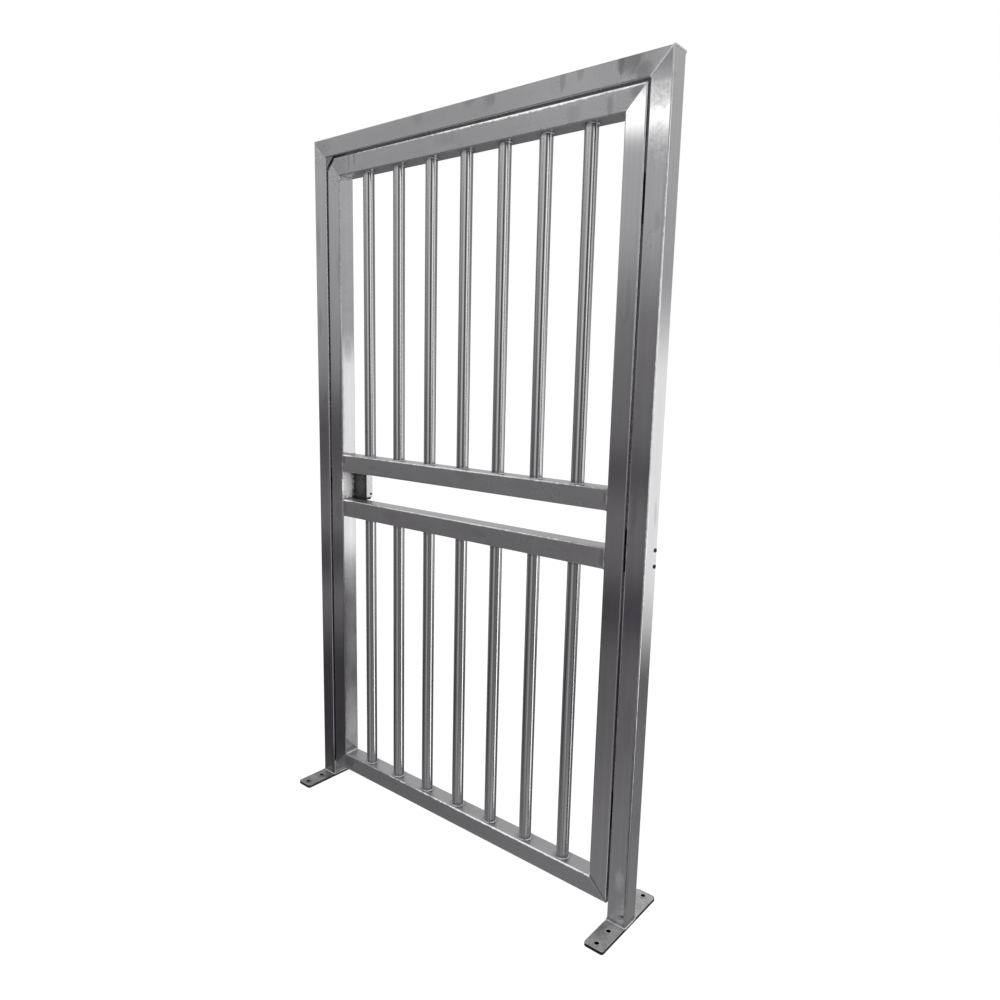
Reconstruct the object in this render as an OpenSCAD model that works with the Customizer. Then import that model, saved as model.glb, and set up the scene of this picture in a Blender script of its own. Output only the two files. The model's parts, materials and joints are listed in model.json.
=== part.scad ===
// Full-height side gate: a frame of square tube on two base plates, and one leaf that swings on
// three hinges behind the hinge post.
// X runs along the gate and +X points to the hinge side, -Y is the front, +Z is up.
// The origin is the centre of the underside of the hinge post's base plate.

/* [Frame] */
// Width over both posts
frame_width = 1350; // [900:10:1800]
// Height above the floor
frame_height = 2320; // [1900:10:2800]
// Side of the frame's square tube
frame_tube = 60; // [50:1:80]
// Wall of the frame's tube
frame_wall = 3; // [2:0.5:4]
// Outer corner radius of the frame's tube
frame_corner = 4; // [3.5:0.5:8]

/* [Base plates] */
// Length of a base plate, front to back
plate_length = 300; // [240:5:400]
// Width of a base plate
plate_width = 62; // [50:1:100]
// Thickness of a base plate
plate_thickness = 10; // [5:1:15]
// Corner radius of a base plate
plate_corner = 8; // [2:1:20]
// Diameter of an anchor hole
anchor_hole = 14; // [9:1:18]
// Distance between the two outer anchor holes
outer_hole_spacing = 260; // [200:5:340]
// Distance between the two inner anchor holes
inner_hole_spacing = 136; // [110:2:160]

/* [Corner gusset] */
// Length of the gusset's two legs
gusset_leg = 38; // [25:1:80]
// Thickness of the gusset's plate
gusset_plate = 3; // [2:0.5:6]
// Step from the tube's face back to the gusset's face
gusset_inset = 2; // [1:0.5:5]

/* [Leaf] */
// Side of the leaf's square tube
leaf_tube = 60; // [45:1:80]
// Wall of the leaf's tube
leaf_wall = 2; // [1.5:0.5:4]
// Outer corner radius of the leaf's tube
leaf_corner = 4; // [3.5:0.5:8]
// Gap between the leaf and the lock post
lock_side_gap = 11; // [8:1:25]
// Gap between the leaf and the hinge post
hinge_side_gap = 6; // [5:1:12]
// Gap between the leaf and the head rail
top_gap = 8; // [5:1:25]
// Gap between the leaf and the floor
floor_gap = 58; // [30:1:150]
// Distance between the cut corner and the gusset's long face
corner_gap = 10; // [6:1:25]
// Thickness of the plate that closes the cut corner
patch_plate = 3; // [2:0.5:5]

/* [Mid rails] */
// Height of the middle of the gap between the mid rails
mid_gap_height = 1148; // [900:1:1300]
// Gap between the two mid rails
mid_gap = 101; // [90:1:160]

/* [Bars] */
// Number of bars in each field
bar_count = 7; // [3:1:9]
// Diameter of a bar
bar_diameter = 38; // [25:1:45]
// Wall of a bar
bar_wall = 1.5; // [1:0.5:3]
// Clear distance between a stile and the first bar
bar_margin = 95.5; // [40:0.5:120]

/* [Hinges] */
// Distance from the leaf's ends to the middles of the lower and upper hinges
hinge_end_distance = 252; // [120:1:350]
// Height of the middle of the middle hinge
middle_hinge_height = 1083; // [900:1:1300]
// Length of a hinge
hinge_length = 120; // [90:5:180]
// Thickness of a hinge plate
hinge_plate = 5; // [4:0.5:8]
// Width of a hinge plate
hinge_plate_width = 40; // [30:1:42]
// Outer radius of a knuckle
knuckle_radius = 10; // [9:0.5:14]
// Distance from the back of the tubes to the pin's axis
pin_offset = 13; // [13:0.5:20]
// Radius of a hinge pin
pin_radius = 6; // [4:0.5:7]
// Radial clearance of the pin in its knuckles
pin_clearance = 0.08; // [0.02:0.01:0.1]
// Gap between two knuckles
knuckle_gap = 1; // [0.5:0.5:3]

/* [Lock] */
// Width of the lock case
case_width = 118; // [90:1:160]
// Depth of the lock case
case_depth = 20; // [18:1:40]
// Height of the lock case
case_height = 86; // [60:1:90]
// How far the lock case stands forward into the gap between the mid rails
case_step = 8; // [2:1:20]
// Clearance between that part of the lock case and the stile
case_clearance = 0.5; // [0.2:0.1:3]
// Distance from the leaf's edge to the lock case
case_inset = 9; // [3:1:30]
// Radius of the lock case's corners
case_corner = 3; // [1:0.5:6]
// Diameter of the key cylinder
cylinder_diameter = 30; // [20:1:40]
// Depth of the key cylinder
cylinder_depth = 6; // [3:1:15]
// Width of the keeper
keeper_width = 44; // [30:1:50]
// Height of the keeper
keeper_height = 70; // [50:1:86]
// Wall of the keeper
keeper_wall = 5; // [3:0.5:8]

/* [Hidden] */
$fn = 64;
overcut = 20;

// Lines of the frame
hinge_post_x = 0;
lock_post_x = -(frame_width - frame_tube);
head_underside = frame_height - frame_tube;
back_face = frame_tube / 2;
inner_corner_x = lock_post_x + frame_tube / 2;

// Lines of the leaf
leaf_left = inner_corner_x + lock_side_gap;
leaf_right = hinge_post_x - frame_tube / 2 - hinge_side_gap;
leaf_bottom = floor_gap;
leaf_top = head_underside - top_gap;
leaf_middle_x = (leaf_left + leaf_right) / 2;
leaf_centre_y = back_face - leaf_tube / 2;
leaf_opening = leaf_right - leaf_left - 2 * leaf_tube;
bar_pitch = (leaf_opening - 2 * bar_margin - bar_diameter) / (bar_count - 1);
lower_mid_top = mid_gap_height - mid_gap / 2;
upper_mid_bottom = mid_gap_height + mid_gap / 2;

// The cut corner runs parallel to the gusset's long face
gusset_line = inner_corner_x + gusset_leg - head_underside;
corner_cut = gusset_line + corner_gap * sqrt(2) - leaf_left + leaf_top;
patch_step = patch_plate * sqrt(2);

// Hinges, from the lowest up
HINGES = ["lower", "middle", "upper"];
hinge_heights = [leaf_bottom + hinge_end_distance, middle_hinge_height, leaf_top - hinge_end_distance];
pin_x = (leaf_right + hinge_post_x - frame_tube / 2) / 2;
pin_y = back_face + pin_offset;
knuckle_length = (hinge_length - 2 * knuckle_gap) / 3;
plate_start = knuckle_radius + 5;
web_front = back_face + 1;
web_back = pin_y - knuckle_radius + hinge_plate;
pin_head_radius = pin_radius + 3;
pin_head = 4;

// Lock
case_left = leaf_left + case_inset;
case_back = back_face + case_depth;
cylinder_inset = 51;
cylinder_x = case_left + case_width - cylinder_inset;
key_slot = [2.4, 9];
keeper_inset = 2;
keeper_right = inner_corner_x - keeper_inset;
pocket_depth = keeper_width - 2 * keeper_wall;

// Square with round corners, centred on the origin
module rounded_square(width, depth, corner) {
    square([width - 2 * corner, depth], center = true);
    square([width, depth - 2 * corner], center = true);
    for (x = [-1, 1], y = [-1, 1])
        translate([x * (width / 2 - corner), y * (depth / 2 - corner)])
            circle(r = corner);
}

// Cross-section of a square tube
module tube_section(side, wall, corner) {
    difference() {
        rounded_square(side, side, corner);
        rounded_square(side - 2 * wall, side - 2 * wall, max(corner - wall, 0.5));
    }
}

// Square tube standing on the height bottom, centred on x and y
module upright_tube(x, y, bottom, top, side, wall, corner) {
    translate([x, y, bottom])
        linear_extrude(top - bottom) tube_section(side, wall, corner);
}

// Square tube lying from x = left to x = right, with its underside at the height bottom
module level_tube(left, right, y, bottom, side, wall, corner) {
    translate([left, y, bottom + side / 2]) rotate([0, 90, 0])
        linear_extrude(right - left) tube_section(side, wall, corner);
}

// Prism with its outline in the plane of the gate
module gate_prism(outline, y, depth) {
    translate([0, y, 0]) rotate([90, 0, 0])
        linear_extrude(depth, center = true) polygon(outline);
}

// What a mitre takes off an upright. The outer corner is at [x, z], and inward is the way to the inner corner
module upright_mitre(x, z, inward, side, y) {
    reach = side + overcut;
    gate_prism([
        [x - overcut * inward[0], z - overcut * inward[1]],
        [x + reach * inward[0], z + reach * inward[1]],
        [x + reach * inward[0], z - overcut * inward[1]]
    ], y, side + 2 * overcut);
}

// What the same mitre takes off the rail
module rail_mitre(x, z, inward, side, y) {
    reach = side + overcut;
    gate_prism([
        [x - overcut * inward[0], z - overcut * inward[1]],
        [x + reach * inward[0], z + reach * inward[1]],
        [x - overcut * inward[0], z + reach * inward[1]]
    ], y, side + 2 * overcut);
}

// What a 45 degree cut across the leaf's top left corner takes off, cut being measured along the edges
module leaf_corner_cut(cut) {
    gate_prism([
        [leaf_left - overcut, leaf_top + overcut],
        [leaf_left + cut + overcut, leaf_top + overcut],
        [leaf_left - overcut, leaf_top - cut - overcut]
    ], leaf_centre_y, leaf_tube + 2 * overcut);
}

module lock_post() {
    color("silver") difference() {
        upright_tube(lock_post_x, 0, plate_thickness, frame_height, frame_tube, frame_wall, frame_corner);
        upright_mitre(lock_post_x - frame_tube / 2, frame_height, [1, -1], frame_tube, 0);
    }
}

module hinge_post() {
    color("silver") difference() {
        upright_tube(hinge_post_x, 0, plate_thickness, frame_height, frame_tube, frame_wall, frame_corner);
        upright_mitre(hinge_post_x + frame_tube / 2, frame_height, [-1, -1], frame_tube, 0);
    }
}

module frame_top_rail() {
    left = lock_post_x - frame_tube / 2;
    right = hinge_post_x + frame_tube / 2;
    color("silver") difference() {
        level_tube(left, right, 0, head_underside, frame_tube, frame_wall, frame_corner);
        rail_mitre(left, frame_height, [1, -1], frame_tube, 0);
        rail_mitre(right, frame_height, [-1, -1], frame_tube, 0);
    }
}

// Right triangle in the frame's top left inner corner
function corner_triangle(leg) = [
    [inner_corner_x, head_underside],
    [inner_corner_x + leg, head_underside],
    [inner_corner_x, head_underside - leg]
];

module corner_gusset() {
    depth = frame_tube - 2 * gusset_inset;
    color("darkgray") difference() {
        gate_prism(corner_triangle(gusset_leg), 0, depth);
        gate_prism(corner_triangle(gusset_leg - gusset_plate * sqrt(2)), 0, depth - 2 * gusset_plate);
    }
}

module base_plate(x) {
    color("darkgray") translate([x, 0, 0]) linear_extrude(plate_thickness) difference() {
        rounded_square(plate_width, plate_length, plate_corner);
        for (spacing = [outer_hole_spacing, inner_hole_spacing], end = [-1, 1])
            translate([0, end * spacing / 2]) circle(d = anchor_hole);
    }
}

// Keeper with a pocket that is open towards the leaf
module lock_keeper() {
    color("dimgray") difference() {
        translate([keeper_right - keeper_width, back_face, mid_gap_height - keeper_height / 2])
            cube([keeper_width, case_depth, keeper_height]);
        translate([keeper_right - pocket_depth, back_face + keeper_wall,
                   mid_gap_height - keeper_height / 2 + keeper_wall])
            cube([pocket_depth + overcut, case_depth - 2 * keeper_wall, keeper_height - 2 * keeper_wall]);
    }
}

module leaf_lock_stile() {
    color("silver") difference() {
        upright_tube(leaf_left + leaf_tube / 2, leaf_centre_y, leaf_bottom, leaf_top,
                     leaf_tube, leaf_wall, leaf_corner);
        upright_mitre(leaf_left, leaf_top, [1, -1], leaf_tube, leaf_centre_y);
        upright_mitre(leaf_left, leaf_bottom, [1, 1], leaf_tube, leaf_centre_y);
        leaf_corner_cut(corner_cut + patch_step);
    }
}

module leaf_hinge_stile() {
    color("silver") difference() {
        upright_tube(leaf_right - leaf_tube / 2, leaf_centre_y, leaf_bottom, leaf_top,
                     leaf_tube, leaf_wall, leaf_corner);
        upright_mitre(leaf_right, leaf_top, [-1, -1], leaf_tube, leaf_centre_y);
        upright_mitre(leaf_right, leaf_bottom, [-1, 1], leaf_tube, leaf_centre_y);
    }
}

module leaf_top_rail() {
    color("silver") difference() {
        level_tube(leaf_left, leaf_right, leaf_centre_y, leaf_top - leaf_tube,
                   leaf_tube, leaf_wall, leaf_corner);
        rail_mitre(leaf_left, leaf_top, [1, -1], leaf_tube, leaf_centre_y);
        rail_mitre(leaf_right, leaf_top, [-1, -1], leaf_tube, leaf_centre_y);
        leaf_corner_cut(corner_cut + patch_step);
    }
}

module leaf_bottom_rail() {
    color("silver") difference() {
        level_tube(leaf_left, leaf_right, leaf_centre_y, leaf_bottom, leaf_tube, leaf_wall, leaf_corner);
        rail_mitre(leaf_left, leaf_bottom, [1, 1], leaf_tube, leaf_centre_y);
        rail_mitre(leaf_right, leaf_bottom, [-1, 1], leaf_tube, leaf_centre_y);
    }
}

module leaf_corner_patch() {
    cut = corner_cut + patch_step;
    color("gray") gate_prism([
        [leaf_left + corner_cut, leaf_top],
        [leaf_left + cut, leaf_top],
        [leaf_left, leaf_top - cut],
        [leaf_left, leaf_top - corner_cut]
    ], leaf_centre_y, leaf_tube - leaf_corner);
}

// Mid rail between the stiles, with its underside at the height bottom
module mid_rail(bottom) {
    color("silver")
        level_tube(leaf_left + leaf_tube, leaf_right - leaf_tube, leaf_centre_y, bottom,
                   leaf_tube, leaf_wall, leaf_corner);
}

// Bar number i of a field that runs from the height bottom to the height top
module bar(i, bottom, top) {
    x = leaf_middle_x + (i - (bar_count + 1) / 2) * bar_pitch;
    color("lightgray") translate([x, leaf_centre_y, bottom]) linear_extrude(top - bottom) difference() {
        circle(d = bar_diameter);
        circle(d = bar_diameter - 2 * bar_wall);
    }
}

// Block of the lock case, from the line left to its right end and from the line front to its back
module case_block(left, front) {
    right = case_left + case_width;
    translate([(left + right) / 2, case_back, mid_gap_height])
        rotate([90, 0, 0]) linear_extrude(case_back - front)
            rounded_square(right - left, case_height, case_corner);
}

module lock_case() {
    color("dimgray") {
        case_block(case_left, back_face);
        case_block(leaf_left + leaf_tube + case_clearance, back_face - case_step);
    }
}

module lock_cylinder() {
    color("lightgray") translate([cylinder_x, case_back + cylinder_depth, mid_gap_height])
        rotate([90, 0, 0]) linear_extrude(cylinder_depth) difference() {
            circle(d = cylinder_diameter);
            square(key_slot, center = true);
        }
}

// One knuckle, with the web and plate that carry it. side is 1 towards the post and -1 towards the leaf
module knuckle(side, bottom) {
    translate([pin_x, pin_y, bottom]) cylinder(h = knuckle_length, r = knuckle_radius);
    translate([pin_x + (side < 0 ? -plate_start : 0), web_front, bottom])
        cube([plate_start, web_back - web_front, knuckle_length]);
}

// Hinge plate on the back of the post or the leaf, with side as in knuckle()
module hinge_plate_on(side, height) {
    near = pin_x + side * plate_start;
    translate([side < 0 ? near - hinge_plate_width : near, back_face, height - hinge_length / 2])
        cube([hinge_plate_width, hinge_plate, hinge_length]);
}

// What the pin's hole takes off both halves of a hinge
module hinge_bore(height) {
    translate([pin_x, pin_y, height - hinge_length / 2 - overcut])
        cylinder(h = hinge_length + 2 * overcut, r = pin_radius + pin_clearance);
}

module hinge_frame_half(height) {
    color("darkgray") difference() {
        union() {
            hinge_plate_on(1, height);
            knuckle(1, height - hinge_length / 2);
            knuckle(1, height + hinge_length / 2 - knuckle_length);
        }
        hinge_bore(height);
    }
}

module hinge_leaf_half(height) {
    color("darkgray") difference() {
        union() {
            hinge_plate_on(-1, height);
            knuckle(-1, height - knuckle_length / 2);
        }
        hinge_bore(height);
    }
}

module hinge_pin(height) {
    color("gray") translate([pin_x, pin_y, height - hinge_length / 2]) {
        cylinder(h = hinge_length + pin_head, r = pin_radius);
        translate([0, 0, hinge_length]) cylinder(h = pin_head, r = pin_head_radius);
    }
}

lock_post();
hinge_post();
frame_top_rail();
corner_gusset();
base_plate(lock_post_x);  // lock_post_base_plate
base_plate(hinge_post_x);  // hinge_post_base_plate
lock_keeper();
leaf_lock_stile();
leaf_hinge_stile();
leaf_top_rail();
leaf_bottom_rail();
leaf_corner_patch();
mid_rail(lower_mid_top - leaf_tube);  // mid_rail_lower
mid_rail(upper_mid_bottom);  // mid_rail_upper
lock_case();
lock_cylinder();
for (i = [1:bar_count]) {
    bar(i, leaf_bottom + leaf_tube, lower_mid_top - leaf_tube);
    bar(i, upper_mid_bottom + leaf_tube, leaf_top - leaf_tube);
}
for (i = [0:2]) {
    hinge_frame_half(hinge_heights[i]);
    hinge_leaf_half(hinge_heights[i]);
    hinge_pin(hinge_heights[i]);
}
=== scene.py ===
import json
import math
from collections import namedtuple

import bpy
from bpy.props import FloatProperty, FloatVectorProperty, PointerProperty
from mathutils import Matrix, Vector


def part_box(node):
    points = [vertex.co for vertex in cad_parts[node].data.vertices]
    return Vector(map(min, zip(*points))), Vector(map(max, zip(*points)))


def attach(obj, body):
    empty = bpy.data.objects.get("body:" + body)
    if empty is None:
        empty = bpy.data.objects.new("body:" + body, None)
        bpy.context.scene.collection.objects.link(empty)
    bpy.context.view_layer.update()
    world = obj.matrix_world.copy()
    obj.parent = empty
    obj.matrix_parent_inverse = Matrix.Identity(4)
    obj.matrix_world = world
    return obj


bl_info = {
    "name": "Side Gate Finish",
    "version": (1, 0, 0),
    "blender": (4, 5, 0),
    "location": "View3D > Sidebar > Side Gate",
    "description": "Welds, fixings, brushed steel and a studio for a tall barred side gate",
    "category": "Object",
}

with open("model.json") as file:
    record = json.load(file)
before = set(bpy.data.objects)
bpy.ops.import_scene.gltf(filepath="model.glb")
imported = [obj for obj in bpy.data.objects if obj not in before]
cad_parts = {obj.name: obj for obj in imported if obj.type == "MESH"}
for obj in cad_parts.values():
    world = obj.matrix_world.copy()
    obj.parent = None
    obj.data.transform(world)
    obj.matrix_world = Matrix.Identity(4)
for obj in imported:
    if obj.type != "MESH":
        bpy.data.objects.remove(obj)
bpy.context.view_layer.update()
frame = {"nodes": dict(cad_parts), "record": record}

FRAME_BODY = "frame"
LEAF_BODY = "leaf"
POSTS = ("lock", "hinge")
FIELDS = ("lower", "upper")
HINGES = ("lower", "middle", "upper")
BARS = [f"bar_{field}_{i}" for field in FIELDS for i in range(1, 8)]
SIDEWAYS = Matrix.Rotation(math.pi / 2, 4, "Y")
FACING_BACK = Matrix.Rotation(-math.pi / 2, 4, "X")
FACING_LEFT = Matrix.Rotation(-math.pi / 2, 4, "Y")
FACING_RIGHT = Matrix.Rotation(math.pi / 2, 4, "Y")
UPRIGHT = Matrix.Rotation(math.pi / 2, 4, "X")
ORIGIN = (0.0, 0.0, 0.0)

# Cells of brushed grain in a metre: few along the brushing and many across it
GRAIN_CELLS = {"X": (4.0, 800.0, 800.0), "Z": (800.0, 800.0, 4.0)}

# The square tube, and how beads and seams are set out, in metres
TUBE = 0.06
FOOT_GAP = 0.001
BAR_GAP = 0.0006
CORNER_BEAD_SHORT = 0.009
GUSSET_BEAD_CORNER = 0.002
KEEPER_BEAD_CORNER = 0.001
PATCH_BEAD_DEPTH = 0.0012
SEAM_STEP = 0.004
EDGE_STEP = 0.02
TOP_RAIL_SEAM = 0.043

# How far each bar's weld is turned from the one before it, in radians
RING_TURN = 2.1

# How the lock and the posts carry their fittings, in metres. Sunk is how far one piece goes into another
SUNK = 0.0002
COVER_INSET = 0.004
COVER_THICKNESS = 0.0016
SCREW_INSET = 0.012
ROSE_GAP = 0.0003
DOME_LEVELS = (1.177, 1.238)
CAP_LEVELS = (1.0587, 1.103)
CAP_INSET = 0.0095


# ---------------------------------------------------------------- sizes and colours


def size(name, description, default):
    return FloatProperty(name=name, description=description, default=default, min=0.0, precision=4,
                         unit="LENGTH")


def turn(name, description, degrees):
    return FloatProperty(name=name, description=description, default=math.radians(degrees),
                         subtype="ANGLE")


def share(name, description, default):
    return FloatProperty(name=name, description=description, default=default, min=0.0, max=1.0,
                         subtype="FACTOR")


def colour(name, description, default):
    return FloatVectorProperty(name=name, description=description, default=default, min=0.0, max=1.0,
                               subtype="COLOR")


class GateWelds(bpy.types.PropertyGroup):
    """Sizes of the weld beads"""

    foot: size("Foot bead", "Radius of the bead round a post's foot", 0.0024)
    bar: size("Bar bead", "Radius of the bead round a bar's end", 0.0026)
    rail: size("Rail bead", "Radius of the bead round a mid rail's end", 0.0022)
    corner: size("Corner bead", "Radius of the bead in an inner corner", 0.0042)
    ground: size("Ground bead", "Radius of a ground bead, at the gusset and the cut corner", 0.0014)
    seam: size("Ground seam", "Radius of a seam that is ground nearly flush", 0.0006)
    frame_seam: size("Frame seam", "Radius of the seam at the frame's hinge corner", 0.0028)
    tube_corner: size("Tube corner", "Outer corner radius of the square tubes", 0.004)
    fitting: size("Fitting bead", "Radius of the bead round a hinge plate or keeper", 0.0018)
    ripple: size("Ripple", "Distance between the ripples of a bead", 0.0026)
    ripple_depth: share("Ripple depth", "How far a bead narrows between two ripples", 0.22)


class GateFixings(bpy.types.PropertyGroup):
    """Sizes of the plates, screws and rivets"""

    plate_corner: size("Plate corner", "Corner radius of a base plate", 0.008)
    # The plate edge is the radius of a bead laid round a base plate's top; the hinge plate's bead carries a
    # painted highlight
    plate_edge: size("Plate edge", "Worn edge of a base plate", 0.0018)
    rim_radius: size("Hole rim", "Middle radius of the raised rim round an anchor hole", 0.0092)
    rim_width: size("Rim width", "Half the width of that rim", 0.0024)
    screw_radius: size("Screw radius", "Radius of a lock screw's head", 0.004)
    screw_height: size("Screw height", "Height of a lock screw's head", 0.0025)
    dome_radius: size("Dome radius", "Radius of a dome head on the lock post", 0.007)
    dome_height: size("Dome height", "Height of a dome head on the lock post", 0.005)
    cap_radius: size("Cap radius", "Radius of a black cap on the hinge post", 0.0055)
    cap_height: size("Cap height", "Height of a black cap on the hinge post", 0.0025)
    rose_radius: size("Rose radius", "Radius of the rose round the lock cylinder", 0.0185)
    rose_height: size("Rose height", "Height of the rose round the lock cylinder", 0.003)


class GateFinish(bpy.types.PropertyGroup):
    """Colours and roughness of the finishes"""

    steel: colour("Steel", "Brushed stainless steel of the tubes", (0.66, 0.657, 0.663))
    bar_steel: colour("Bar steel", "Polished stainless steel of the bars", (0.57, 0.569, 0.572))
    plate: colour("Plate steel", "Dull steel of the base plates", (0.62, 0.62, 0.615))
    weld: colour("Weld", "Bright weld metal", (0.74, 0.73, 0.72))
    heat: colour("Heat tint", "Steel darkened by welding", (0.30, 0.29, 0.31))
    # Pale is the near-white colour of the painted highlights on the tubes' edges and beside the lock
    pale: colour("Pale steel", "Steel dulled white by cleaning after welding", (0.95, 0.95, 0.95))
    lock: colour("Lock", "Steel of the lock", (0.66, 0.658, 0.665))
    rubber: colour("Caps", "Black plastic of the caps", (0.012, 0.012, 0.013))
    upright_roughness: share("Upright roughness", "Roughness of the brushed posts and stiles", 0.14)
    rail_roughness: share("Rail roughness", "Roughness of the brushed rails", 0.27)
    bar_roughness: share("Bar roughness", "Roughness of the bars", 0.17)
    plate_roughness: share("Plate roughness", "Roughness of the base plates", 0.33)


class GateStudio(bpy.types.PropertyGroup):
    """The camera and the floor"""

    stand: FloatVectorProperty(name="Camera place", description="Where the camera stands",
                               default=(0.9612, -1.7741, 1.5517), subtype="TRANSLATION", unit="LENGTH")
    heading: turn("Heading", "Camera's turn to the left of straight ahead", 39.04)
    dip: turn("Dip", "How far the camera looks down", 9.83)
    roll: turn("Roll", "Camera's roll", 1.37)
    lens: FloatProperty(name="Lens", description="Focal length in millimetres", default=27.6, min=1.0)
    shift: FloatVectorProperty(name="Shift", description="Camera shift, as a share of the width",
                               default=(-0.00235, 0.0074), size=2)
    floor: colour("Floor", "Pale floor", (0.9, 0.9, 0.9))
    floor_radius: size("Floor radius", "Radius of the floor", 30.0)


# ---------------------------------------------------------------- modelling helpers


def clear_selection():
    if bpy.context.mode != "OBJECT":
        bpy.ops.object.mode_set(mode="OBJECT")
    bpy.ops.object.select_all(action="DESELECT")


def take(piece):
    """Selects one piece alone and makes it active."""
    clear_selection()
    piece.select_set(True)
    bpy.context.view_layer.objects.active = piece


def join(pieces):
    take(pieces[0])
    for piece in pieces[1:]:
        piece.select_set(True)
    bpy.ops.object.join()
    return bpy.context.object


def settle(piece, name, body, material, smooth=40):
    """Fixes a finished piece in place, names it, gives it its finish and lets it ride on its body."""
    take(piece)
    bpy.ops.object.transform_apply(location=True, rotation=True, scale=True)
    bpy.ops.object.shade_smooth_by_angle(angle=math.radians(smooth))
    piece.name = name
    piece.data.name = name
    piece.data.materials.clear()
    piece.data.materials.append(bpy.data.materials[material])
    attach(piece, body)
    return piece


def copies(master, places):
    """Copies of a finished piece, one at each place, joined into one. The master is used up."""
    made = []
    for place in places:
        take(master)
        bpy.ops.object.duplicate(linked=False)
        bpy.context.object.matrix_world = place
        made.append(bpy.context.object)
    bpy.data.objects.remove(master)
    return join(made)


def pick_faces(piece, test):
    """Enters edit mode with only the faces that pass the test selected."""
    take(piece)
    bpy.ops.object.mode_set(mode="EDIT")
    bpy.ops.mesh.select_mode(type="FACE")
    bpy.ops.mesh.select_all(action="DESELECT")
    bpy.ops.object.mode_set(mode="OBJECT")
    for face in piece.data.polygons:
        face.select = test(face)
    bpy.ops.object.mode_set(mode="EDIT")


def pick_edges(piece, test):
    """Enters edit mode with only the edges whose two ends pass the test selected."""
    take(piece)
    bpy.ops.object.mode_set(mode="EDIT")
    bpy.ops.mesh.select_mode(type="EDGE")
    bpy.ops.mesh.select_all(action="DESELECT")
    bpy.ops.object.mode_set(mode="OBJECT")
    points = piece.data.vertices
    for edge in piece.data.edges:
        edge.select = test(*[points[i].co for i in edge.vertices])
    bpy.ops.object.mode_set(mode="EDIT")


def bevel_edges(piece, width, segments=2, angle=40):
    """Rounds every edge that turns by more than the angle."""
    take(piece)
    bpy.ops.object.modifier_add(type="BEVEL")
    bevel = piece.modifiers[-1]
    bevel.width = width
    bevel.segments = segments
    bevel.limit_method = "ANGLE"
    bevel.angle_limit = math.radians(angle)
    bevel.use_clamp_overlap = True
    bpy.ops.object.modifier_apply(modifier=bevel.name)


def box(low, high):
    """A box between two corners, with its place in its mesh."""
    low, high = Vector(low), Vector(high)
    clear_selection()
    bpy.ops.mesh.primitive_cube_add(size=1, location=(low + high) / 2)
    piece = bpy.context.object
    piece.scale = high - low
    bpy.ops.object.transform_apply(location=True, rotation=True, scale=True)
    return piece


def even_edges(outline, step):
    """Divides the long edges of an outline into equal parts about one step long."""
    while True:
        points = outline.data.vertices
        lengths = [(points[e.vertices[0]].co - points[e.vertices[1]].co).length for e in outline.data.edges]
        longest = max(lengths)
        cuts = round(longest / step) - 1
        if cuts < 1:
            return
        pick_edges(outline, lambda a, b: abs((a - b).length - longest) < step / 10)
        bpy.ops.mesh.subdivide(number_cuts=cuts)
        bpy.ops.object.mode_set(mode="OBJECT")


def rounded_outline(width, depth, corner, step):
    """Outline of a rectangle with round corners, flat on the XY plane and centred on the origin."""
    clear_selection()
    bpy.ops.mesh.primitive_plane_add(size=1)
    outline = bpy.context.object
    outline.scale = (width, depth, 1)
    bpy.ops.object.transform_apply(location=False, rotation=False, scale=True)
    bpy.ops.object.mode_set(mode="EDIT")
    bpy.ops.mesh.select_all(action="SELECT")
    bpy.ops.mesh.bevel(offset=corner, segments=4, affect="VERTICES")
    bpy.ops.mesh.select_all(action="SELECT")
    bpy.ops.mesh.delete(type="ONLY_FACE")
    bpy.ops.object.mode_set(mode="OBJECT")
    even_edges(outline, step)
    return outline


def straight_outline(length, step):
    """A line of edges along Y, centred on the origin."""
    clear_selection()
    bpy.ops.mesh.primitive_plane_add(size=length)
    outline = bpy.context.object
    pick_faces(outline, lambda face: False)
    bpy.ops.mesh.select_mode(type="VERT")
    bpy.ops.object.mode_set(mode="OBJECT")
    for vertex in outline.data.vertices:
        vertex.select = vertex.co.x < 0
    bpy.ops.object.mode_set(mode="EDIT")
    bpy.ops.mesh.delete(type="VERT")
    bpy.ops.mesh.select_all(action="SELECT")
    bpy.ops.transform.translate(value=(-length / 2, 0, 0))
    bpy.ops.object.mode_set(mode="OBJECT")
    even_edges(outline, step)
    return outline


def round_outline(radius, step):
    """Outline of a circle, flat on the XY plane and centred on the origin."""
    clear_selection()
    bpy.ops.mesh.primitive_circle_add(vertices=2 * round(math.pi * radius / step), radius=radius)
    return bpy.context.object


def bead(outline, radius):
    """Lays a rippled weld bead along an outline."""
    ripple_depth = bpy.context.scene.gate_welds.ripple_depth
    take(outline)
    bpy.ops.object.convert(target="CURVE")
    line = bpy.context.object.data
    line.dimensions = "3D"
    line.bevel_depth = radius
    line.bevel_resolution = 1
    line.use_fill_caps = True
    for spline in line.splines:
        for k, point in enumerate(spline.points):
            point.radius = 1 - ripple_depth * (k % 2)
    bpy.ops.object.convert(target="MESH")
    return bpy.context.object


def drum(sides, radius, height):
    """A cylinder that stands on the origin, with its place in its mesh."""
    clear_selection()
    bpy.ops.mesh.primitive_cylinder_add(vertices=sides, radius=radius, depth=height,
                                        location=(0, 0, height / 2))
    piece = bpy.context.object
    bpy.ops.object.transform_apply(location=True, rotation=True, scale=True)
    return piece


def cap_screw(radius, height):
    """A round screw head at the origin, with its top towards +Z, rounded edges and a socket."""
    screw = drum(24, radius, height)
    bevel_edges(screw, radius * 0.3, segments=3)
    pick_faces(screw, lambda face: face.normal.z > 0.99)
    bpy.ops.mesh.inset(thickness=radius * 0.25)
    bpy.ops.mesh.extrude_region_move(TRANSFORM_OT_translate={"value": (0, 0, -height * 0.6)})
    bpy.ops.object.mode_set(mode="OBJECT")
    return screw


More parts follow.
